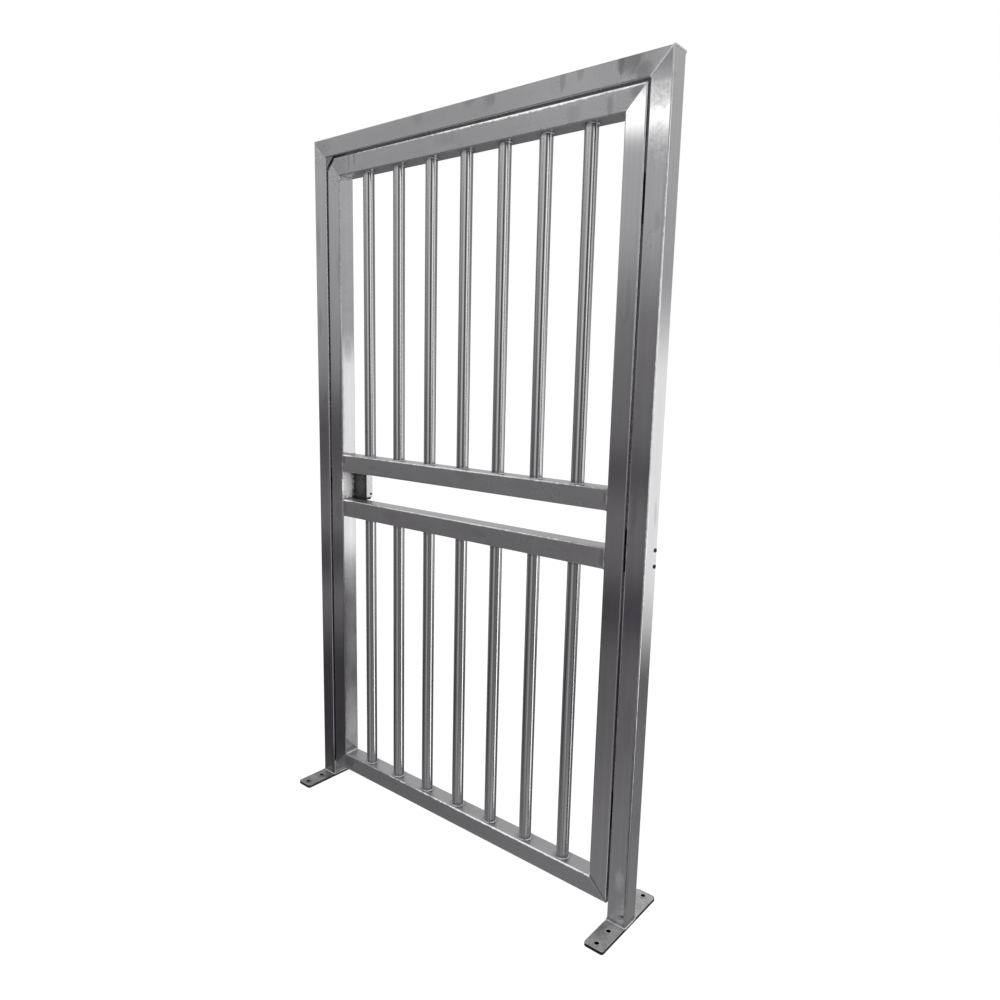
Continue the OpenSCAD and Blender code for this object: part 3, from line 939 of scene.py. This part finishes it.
class GATE_OT_foot_welds(bpy.types.Operator):
    """Weld both posts to their base plates"""

    bl_idname = "gate.foot_welds"
    bl_label = "Post foot welds"

    def execute(self, context):
        welds = context.scene.gate_welds
        for post in POSTS:
            low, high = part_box(f"{post}_post")
            line = rounded_outline(high.x - low.x + 2 * FOOT_GAP, high.y - low.y + 2 * FOOT_GAP,
                                   welds.tube_corner + FOOT_GAP, welds.ripple)
            piece = bead(line, welds.foot)
            piece.matrix_world = at((low.x + high.x) / 2, (low.y + high.y) / 2, low.z)
            settle(piece, f"{post}_post_foot_weld", FRAME_BODY, "Painted Bright Weld")
        return {"FINISHED"}


class GATE_OT_bar_welds(bpy.types.Operator):
    """Weld both ends of every bar"""

    bl_idname = "gate.bar_welds"
    bl_label = "Bar welds"

    def execute(self, context):
        welds = context.scene.gate_welds
        for field in FIELDS:
            boxes = [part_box(f"bar_{field}_{i}") for i in range(1, 8)]
            radius = (boxes[0][1].x - boxes[0][0].x) / 2
            for end, finish in (("foot", "Painted Bright Weld"), ("head", "Weld Metal")):
                ring = bead(round_outline(radius + BAR_GAP, welds.ripple), welds.bar)
                places = [at((low.x + high.x) / 2, (low.y + high.y) / 2, low.z if end == "foot" else high.z,
                             Matrix.Rotation(i * RING_TURN, 4, "Z")) for i, (low, high) in enumerate(boxes)]
                settle(copies(ring, places), f"bar_{end}_welds_{field}", LEAF_BODY, finish)
        return {"FINISHED"}


class GATE_OT_rail_welds(bpy.types.Operator):
    """Weld both ends of the two mid rails"""

    bl_idname = "gate.rail_welds"
    bl_label = "Mid rail welds"

    def execute(self, context):
        welds = context.scene.gate_welds
        for rail in FIELDS:
            low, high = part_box(f"mid_rail_{rail}")
            ring = bead(rounded_outline(high.z - low.z, high.y - low.y, welds.tube_corner, welds.ripple),
                        welds.rail)
            middle = (low + high) / 2
            places = [at(x, middle.y, middle.z, SIDEWAYS) for x in (low.x, high.x)]
            settle(copies(ring, places), f"mid_rail_{rail}_welds", LEAF_BODY, "Weld Metal")
        return {"FINISHED"}


class GATE_OT_corner_welds(bpy.types.Operator):
    """Weld the leaf's inner corners, the gusset and the closing plate of the cut corner"""

    bl_idname = "gate.corner_welds"
    bl_label = "Corner welds"

    def execute(self, context):
        welds = context.scene.gate_welds
        left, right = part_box("leaf_lock_stile")[1].x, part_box("leaf_hinge_stile")[0].x
        under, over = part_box("leaf_top_rail")[0].z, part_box("leaf_bottom_rail")[1].z
        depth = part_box("leaf_top_rail")[1].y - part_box("leaf_top_rail")[0].y
        for end, height, finish in (("top", under, "Painted Bright Weld"), ("bottom", over, "Painted Highlight Seam")):
            line = bead(straight_outline(depth - CORNER_BEAD_SHORT, welds.ripple), welds.corner)
            places = [at(x, 0, height) for x in (left, right)]
            settle(copies(line, places), f"leaf_{end}_corner_welds", LEAF_BODY, finish)

        low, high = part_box("corner_gusset")
        ring = bead(rounded_outline(high.x - low.x, high.y - low.y, GUSSET_BEAD_CORNER, welds.ripple),
                    welds.ground)
        places = [at((low.x + high.x) / 2, 0, high.z), at(low.x, 0, (low.z + high.z) / 2, SIDEWAYS)]
        settle(copies(ring, places), "gusset_weld", FRAME_BODY, "Ground Seam")

        low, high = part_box("leaf_corner_patch")
        face = math.hypot(high.x - low.x, high.z - low.z)
        ring = bead(rounded_outline(face, depth, welds.tube_corner, welds.ripple), welds.ground)
        inward = Vector((1, 0, -1)).normalized() * PATCH_BEAD_DEPTH
        ring.matrix_world = at((low.x + high.x) / 2 + inward.x, 0, (low.z + high.z) / 2 + inward.z,
                               Matrix.Rotation(-math.pi / 4, 4, "Y"))
        settle(ring, "patch_weld", LEAF_BODY, "Ground Seam")
        return {"FINISHED"}


class GATE_OT_seams(bpy.types.Operator):
    """Add the ground seams of the mitred corners and of the leaf's top rail"""

    bl_idname = "gate.seams"
    bl_label = "Ground seams"

    def execute(self, context):
        welds = context.scene.gate_welds
        low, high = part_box("frame_top_rail")
        self.mitres("frame_hinge_corner_seam", FRAME_BODY, welds.frame_seam, "Painted Highlight Seam",
                    [(high.x, high.z, -1, -1)])
        self.mitres("frame_lock_corner_seam", FRAME_BODY, welds.seam, "Ground Seam",
                    [(low.x, high.z, 1, -1)])
        low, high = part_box("leaf_hinge_stile")
        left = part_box("leaf_bottom_rail")[0]
        self.mitres("leaf_mitre_seams", LEAF_BODY, welds.seam, "Ground Seam",
                    [(high.x, high.z, -1, -1), (high.x, low.z, -1, 1), (left.x, left.z, 1, 1)])
        low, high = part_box("leaf_top_rail")
        ring = bead(rounded_outline(high.z - low.z, high.y - low.y, welds.tube_corner, SEAM_STEP),
                    welds.seam)
        ring.matrix_world = at(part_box("leaf_lock_stile")[1].x + TOP_RAIL_SEAM, 0, (low.z + high.z) / 2,
                               SIDEWAYS)
        settle(ring, "leaf_top_rail_seam", LEAF_BODY, "Ground Seam")
        return {"FINISHED"}

    def mitres(self, name, body, radius, finish, corners):
        """A seam round each mitre. A corner is its outer x and z, and the way to its inner corner."""
        outline = rounded_outline(TUBE, TUBE, bpy.context.scene.gate_welds.tube_corner, SEAM_STEP)
        outline.scale = (math.sqrt(2), 1, 1)
        bpy.ops.object.transform_apply(location=False, rotation=False, scale=True)
        places = [at(x + TUBE / 2 * dx, 0, z + TUBE / 2 * dz,
                     Matrix.Rotation(-math.pi / 4 * dx * dz, 4, "Y")) for x, z, dx, dz in corners]
        settle(copies(bead(outline, radius), places), name, body, finish)


class GATE_OT_fitting_welds(bpy.types.Operator):
    """Weld the hinge plates and the keeper"""

    bl_idname = "gate.fitting_welds"
    bl_label = "Hinge and keeper welds"

    def execute(self, context):
        welds = context.scene.gate_welds
        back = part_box("hinge_post")[1].y
        low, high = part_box("lock_keeper")
        ring = bead(rounded_outline(high.x - low.x, high.z - low.z, KEEPER_BEAD_CORNER, welds.ripple),
                    welds.fitting)
        ring.matrix_world = at((low.x + high.x) / 2, back, (low.z + high.z) / 2, FACING_BACK)
        settle(ring, "keeper_weld", FRAME_BODY, "Weld Metal")
        for half, body, side in (("frame", FRAME_BODY, 1), ("leaf", LEAF_BODY, 0)):
            boxes = [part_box(f"hinge_{half}_half_{where}") for where in HINGES]
            low, high = boxes[0]
            line = bead(straight_outline(high.z - low.z, welds.ripple), welds.fitting)
            places = [at(boxes[0][side].x, back, (low.z + high.z) / 2, UPRIGHT) for low, high in boxes]
            settle(copies(line, places), f"hinge_{half}_half_welds", body, "Weld Metal")
        return {"FINISHED"}


class GATE_OT_plate_details(bpy.types.Operator):
    """Add rounded edges along the base plates and the raised rims of their anchor holes, painted as
    highlights on the hinge plate
    """

    bl_idname = "gate.plate_details"
    bl_label = "Base plate details"

    def execute(self, context):
        fixings = context.scene.gate_fixings
        edge = fixings.plate_edge
        for post, edge_finish in zip(POSTS, ("Dull Lock Plate", "Painted Highlight Edge")):
            low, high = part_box(f"{post}_post_base_plate")
            middle = (low + high) / 2
            line = rounded_outline(high.x - low.x - 2 * edge, high.y - low.y - 2 * edge,
                                   fixings.plate_corner - edge, EDGE_STEP)
            piece = bead(line, edge / 2)
            piece.matrix_world = at(middle.x, middle.y, high.z - edge / 5)
            settle(piece, f"{post}_plate_worn_edge", FRAME_BODY, edge_finish)

            spacings = [m["dims"]["spacing_y_mm"] / 1000 for m in frame["record"]["mounts"]
                        if m["name"].startswith(f"{post}_post_") and m["name"].endswith("_bolts")]
            if len(spacings) != 2:
                raise RuntimeError("the record has no two bolt patterns for this base plate")
            places = [at(middle.x, middle.y + end * spacing / 2, high.z)
                      for spacing in spacings for end in (-1, 1)]
            settle(copies(raised_rim(fixings.rim_radius, fixings.rim_width), places),
                   f"{post}_plate_hole_rims", FRAME_BODY, edge_finish)
        return {"FINISHED"}


class GATE_OT_lock_details(bpy.types.Operator):
    """Add the lock's cover, screws, latch nose and cylinder rose, and the keeper's screws"""

    bl_idname = "gate.lock_details"
    bl_label = "Lock details"

    def execute(self, context):
        fixings = context.scene.gate_fixings
        low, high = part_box("lock_case")
        keeper_low, keeper_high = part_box("lock_keeper")
        cover_top = high.y + COVER_THICKNESS

        cover = box((low.x + COVER_INSET, high.y - SUNK, low.z + COVER_INSET),
                    (high.x - COVER_INSET, cover_top, high.z - COVER_INSET))
        bevel_edges(cover, 0.0008)
        settle(cover, "lock_cover", LEAF_BODY, "Lock Steel")

        across, level = (keeper_low.y + keeper_high.y) / 2, (keeper_low.z + keeper_high.z) / 2
        nose = box((low.x - 0.016, across - 0.006, level - 0.014),
                   (low.x + 0.002, across + 0.006, level + 0.014))
        pick_faces(nose, lambda face: face.normal.x < -0.99)
        bpy.ops.transform.resize(value=(1, 0.35, 0.9))
        bpy.ops.object.mode_set(mode="OBJECT")
        bevel_edges(nose, 0.0012)
        settle(nose, "latch_nose", LEAF_BODY, "Bright Screw")

        stile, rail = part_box("leaf_lock_stile")[1].x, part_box("mid_rail_lower")[1].z
        # A near-black block fills the space under the lock case, down to the lower mid rail
        foot = box((stile + SUNK, low.y + 0.002, rail - SUNK),
                   (high.x - 0.006, high.y - 0.002, low.z + SUNK))
        pick_faces(foot, lambda face: face.normal.x > 0.99)
        bpy.ops.mesh.inset(thickness=0.0015)
        bpy.ops.mesh.extrude_region_move(TRANSFORM_OT_translate={"value": (0.002, 0, 0)})
        bpy.ops.object.mode_set(mode="OBJECT")
        bevel_edges(foot, 0.0006)
        settle(foot, "lock_packing", LEAF_BODY, "Dark Lock Foot")

        barrel_low, barrel_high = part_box("lock_cylinder")
        disc = rose(fixings.rose_radius, fixings.rose_height, (barrel_high.x - barrel_low.x) / 2 + ROSE_GAP)
        disc.matrix_world = at((barrel_low.x + barrel_high.x) / 2, cover_top - SUNK,
                               (barrel_low.z + barrel_high.z) / 2, FACING_BACK)
        settle(disc, "lock_cylinder_rose", LEAF_BODY, "Bright Screw")

        back = [at(x, cover_top - SUNK, z, FACING_BACK)
                for x in (low.x + SCREW_INSET, high.x - SCREW_INSET)
                for z in (low.z + SCREW_INSET, high.z - SCREW_INSET)]
        self.screws("lock_cover_screws", LEAF_BODY, back)
        self.screws("lock_side_screw", LEAF_BODY, [at(high.x, high.y - 0.007, low.z + 0.013, FACING_RIGHT)],
                    "Black Cap")
        self.screws("keeper_screws", FRAME_BODY,
                    [at(keeper_low.x + SCREW_INSET, keeper_high.y, z, FACING_BACK)
                     for z in (keeper_low.z + 0.014, keeper_high.z - 0.014)])
        return {"FINISHED"}

    def screws(self, name, body, places, finish="Bright Screw"):
        fixings = bpy.context.scene.gate_fixings
        screw = cap_screw(fixings.screw_radius, fixings.screw_height)
        settle(copies(screw, places), name, body, finish)


class GATE_OT_post_fixings(bpy.types.Operator):
    """Add the dome heads on the lock post and the black caps on the hinge post"""

    bl_idname = "gate.post_fixings"
    bl_label = "Post fixings"

    def execute(self, context):
        fixings = context.scene.gate_fixings
        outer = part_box("lock_post")[0].x
        domes = [at(outer, 0, z, FACING_LEFT) for z in DOME_LEVELS]
        settle(copies(dome_head(fixings.dome_radius, fixings.dome_height), domes), "lock_post_dome_heads",
               FRAME_BODY, "Bright Screw")
        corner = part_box("hinge_post")[1]
        caps = [at(corner.x, corner.y - CAP_INSET, z, FACING_RIGHT) for z in CAP_LEVELS]
        settle(copies(cap_screw(fixings.cap_radius, fixings.cap_height), caps), "hinge_post_caps",
               FRAME_BODY, "Black Cap")
        return {"FINISHED"}


# What the metal mirrors: a studio that grows pale towards its ceiling, and the screens, windows and shades
# that stand round the gate. Headings count from the gate's front to its right, and heights from the
# horizon, in degrees. The grade's span is how far its ramp runs above and below the horizon. Dusk is the
# faint violet that the room's dark parts have
GRADE_SPAN = 60.0
GRADE = ((-45, 0.3), (-20, 0.15), (-5, 0.18), (5, 0.42), (20, 0.55), (36, 0.6), (55, 0.35))
DUSK = (0.006, 0.0, 0.009, 1.0)
Panel = namedtuple("Panel", "heading height half_width half_height edge grey")
PANELS = {
    "front wall": Panel(12, 10, 14, 22, 14, 0.8),
    "front bench": Panel(10, -18, 14, 12, 12, 0.45),
    "front corner shade": Panel(42, 6, 13, 14, 12, 0.06),
    "right corner shade": Panel(58, -12, 12, 9, 10, 0.2),
    "right corner screen": Panel(71, 11, 9, 10, 8, 1.2),
    "right floor": Panel(75, -38, 35, 8, 8, 0.6),
    "right window": Panel(91, 7, 14, 12, 8, 2.6),
    "right window post": Panel(90, 7, 9, 16, 3, 0.8),
    "far right screen": Panel(112, 3, 9, 14, 8, 1.0),
    "right bench": Panel(106, -20, 14, 11, 8, 2.6),
    "rear screen": Panel(152, -7.5, 14, 11, 8, 1.12),
    "rear window": Panel(128, -6, 11, 7.5, 3, 1.15),
    "rear shade": Panel(128, -19, 11, 4.5, 4, 0.06),
    "rear wall": Panel(-142, 10, 24, 6, 6, 0.8),
    "left screen": Panel(-84, 9, 14, 10, 10, 0.15),
    "left bench": Panel(-84, -12, 14, 8, 8, 0.38),
    "left floor shade": Panel(-54, -24, 18, 5, 5, 0.04),
    "left beam": Panel(-54, -5, 14, 3, 5, 0.1),
    "left shelf": Panel(-54, -13.5, 14, 1.5, 3, 0.07),
    "hinge side shade": Panel(-28, -2, 10, 9, 8, 0.17),
    "hinge side beam": Panel(-28, -7, 10, 1.5, 4, 0.08),
    "hinge side shelf": Panel(-28, -17, 10, 2, 4, 0.05),
    "ceiling tube": Panel(-29, 17.5, 9, 1.2, 1.5, 2.2),
    "ceiling joist": Panel(-29, 21.5, 9, 2, 1.5, 0.3),
}

# Where the middle of the gate is along X, how bright the floor glows to the camera, how much of what the
# camera sees of the floor is that glow, and how far the shade under a base plate keeps inside its edge
GATE_MIDDLE = -0.65
FLOOR_GLOW = 1.12
FLOOR_GLOW_SHARE = 0.86
SHADE_INSET = 0.01


class GATE_OT_studio(bpy.types.Operator):
    """Set up the floor, the light and the camera"""

    bl_idname = "gate.studio"
    bl_label = "Studio"

    def execute(self, context):
        studio = context.scene.gate_studio
        self.floor(studio)
        self.room(context.scene)
        self.lamp("Soft Key", (-2.6, -3.2, 4.2), 2.6, 100)
        self.lamp("Soft Fill", (3.4, -1.0, 3.0), 2.2, 60)
        self.camera(context.scene, studio)
        context.scene.view_settings.view_transform = "Standard"
        return {"FINISHED"}

    def floor(self, studio):
        clear_selection()
        bpy.ops.mesh.primitive_circle_add(vertices=96, radius=studio.floor_radius, fill_type="NGON",
                                          location=(GATE_MIDDLE, 0, -0.0005))
        floor = bpy.context.object
        floor.name = "studio_floor"
        material = bpy.data.materials.new("Pale Floor")
        material.use_nodes = True
        tree = material.node_tree
        tree.nodes.clear()
        matt = add(tree, "ShaderNodeBsdfDiffuse", {"Color": (*studio.floor, 1.0)})
        glow = add(tree, "ShaderNodeEmission", {"Color": grey(1.0), "Strength": FLOOR_GLOW})
        path = add(tree, "ShaderNodeLightPath")
        seen = math_node(tree, "MULTIPLY", path.outputs["Is Camera Ray"], FLOOR_GLOW_SHARE)
        mixed = add(tree, "ShaderNodeMixShader", {0: seen, 1: matt.outputs[0], 2: glow.outputs[0]})
        add(tree, "ShaderNodeOutputMaterial", {"Surface": mixed.outputs[0]})
        floor.data.materials.append(material)
        floor.visible_glossy = False
        shade = bpy.data.materials.new("Shade Under Plates")
        shade.use_nodes = True
        feed(shade.node_tree, shade.node_tree.nodes["Principled BSDF"].inputs,
             {"Base Color": grey(0.01), "Roughness": 0.9})
        for post in POSTS:
            low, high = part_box(f"{post}_post_base_plate")
            clear_selection()
            bpy.ops.mesh.primitive_plane_add(size=1, location=((low.x + high.x) / 2, (low.y + high.y) / 2,
                                                               -0.0002))
            patch = bpy.context.object
            patch.scale = (high.x - low.x - 2 * SHADE_INSET, high.y - low.y - 2 * SHADE_INSET, 1)
            bpy.ops.object.transform_apply(location=True, rotation=True, scale=True)
            patch.name = f"{post}_plate_shade"
            patch.data.materials.append(shade)

    def room(self, scene):
        """White behind the gate, and for everything else a plain workshop that the metal mirrors."""
        world = bpy.data.worlds.new("Studio Room")
        scene.world = world
        world.use_nodes = True
        tree = world.node_tree
        tree.nodes.clear()
        way = add(tree, "ShaderNodeTexCoord").outputs["Generated"]
        parts = add(tree, "ShaderNodeSeparateXYZ", {0: way}).outputs
        ahead = math_node(tree, "MULTIPLY", parts["Y"], -1.0)
        heading = math_node(tree, "DEGREES", math_node(tree, "ARCTAN2", parts["X"], ahead))
        height = math_node(tree, "DEGREES", math_node(tree, "ARCSINE", parts["Z"]))
        span = {"Value": height, "From Min": -GRADE_SPAN, "From Max": GRADE_SPAN}
        level = add(tree, "ShaderNodeMapRange", span).outputs[0]
        shade = ramp(tree, level, [((rise + GRADE_SPAN) / (2 * GRADE_SPAN), value) for rise, value in GRADE])
        for panel in PANELS.values():
            aside = math_node(tree, "SUBTRACT", heading, panel.heading)
            aside = math_node(tree, "WRAP", aside, 180.0, -180.0)
            above = math_node(tree, "SUBTRACT", height, panel.height)
            covers = math_node(tree, "MULTIPLY", self.within(tree, aside, panel.half_width, panel.edge),
                               self.within(tree, above, panel.half_height, panel.edge))
            shade = blend_colour(tree, covers, shade, grey(panel.grey))
        shade = blend_colour(tree, 1.0, shade, DUSK, mode="ADD")
        path = add(tree, "ShaderNodeLightPath")
        dim = add(tree, "ShaderNodeBackground", {"Color": shade, "Strength": 1.0})
        white = add(tree, "ShaderNodeBackground", {"Color": grey(1.0), "Strength": 1.0})
        mixed = add(tree, "ShaderNodeMixShader", {0: path.outputs["Is Camera Ray"], 1: dim.outputs[0],
                                                  2: white.outputs[0]})
        add(tree, "ShaderNodeOutputWorld", {"Surface": mixed.outputs[0]})

    def within(self, tree, distance, half, edge):
        """One inside a panel's half width or height, falling softly to nothing across its edge."""
        away = math_node(tree, "ABSOLUTE", distance)
        return fade(tree, away, half - edge / 2, half + edge / 2, soft=True)

    def lamp(self, name, place, width, power):
        clear_selection()
        bpy.ops.object.light_add(type="AREA", location=place)
        lamp = bpy.context.object
        lamp.name = name
        aim = Vector((GATE_MIDDLE, 0, 1.0)) - Vector(place)
        lamp.rotation_euler = aim.to_track_quat("-Z", "Y").to_euler()
        lamp.data.energy = power
        lamp.data.size = width
        lamp.visible_glossy = False

    def camera(self, scene, studio):
        """The camera turns by its heading, dips and rolls, in that order."""
        clear_selection()
        bpy.ops.object.camera_add(location=studio.stand)
        camera = bpy.context.object
        camera.name = "Gate Camera"
        turned = (Matrix.Rotation(studio.heading, 4, "Z") @ Matrix.Rotation(math.pi / 2 - studio.dip, 4, "X")
                  @ Matrix.Rotation(studio.roll, 4, "Z"))
        camera.matrix_world = Matrix.Translation(studio.stand) @ turned
        camera.data.lens = studio.lens
        camera.data.shift_x, camera.data.shift_y = studio.shift
        camera.data.clip_end = 200
        scene.camera = camera


class GATE_PT_panel(bpy.types.Panel):
    """Lists the gate's operators and their sizes and colours"""

    bl_idname = "GATE_PT_panel"
    bl_label = "Side Gate"
    bl_space_type = "VIEW_3D"
    bl_region_type = "UI"
    bl_category = "Side Gate"

    def draw(self, context):
        for step in STEPS:
            self.layout.operator(step.bl_idname)
        for group_name in GROUPS:
            settings = getattr(context.scene, group_name)
            self.layout.separator()
            for key in settings.__annotations__:
                self.layout.prop(settings, key)


STEPS = (
    GATE_OT_finishes, GATE_OT_foot_welds, GATE_OT_bar_welds, GATE_OT_rail_welds, GATE_OT_corner_welds,
    GATE_OT_seams, GATE_OT_fitting_welds, GATE_OT_plate_details, GATE_OT_lock_details, GATE_OT_post_fixings,
    GATE_OT_studio,
)
GROUPS = {"gate_welds": GateWelds, "gate_fixings": GateFixings, "gate_finish": GateFinish,
          "gate_studio": GateStudio}


def register():
    for cls in (*GROUPS.values(), *STEPS, GATE_PT_panel):
        bpy.utils.register_class(cls)
    for name, cls in GROUPS.items():
        setattr(bpy.types.Scene, name, PointerProperty(type=cls))


def unregister():
    for name in GROUPS:
        delattr(bpy.types.Scene, name)
    for cls in (GATE_PT_panel, *reversed(STEPS), *reversed(GROUPS.values())):
        bpy.utils.unregister_class(cls)


def main():
    register()
    for step in STEPS:
        getattr(bpy.ops.gate, step.bl_idname.split(".")[1])()


if __name__ == "__main__":
    main()
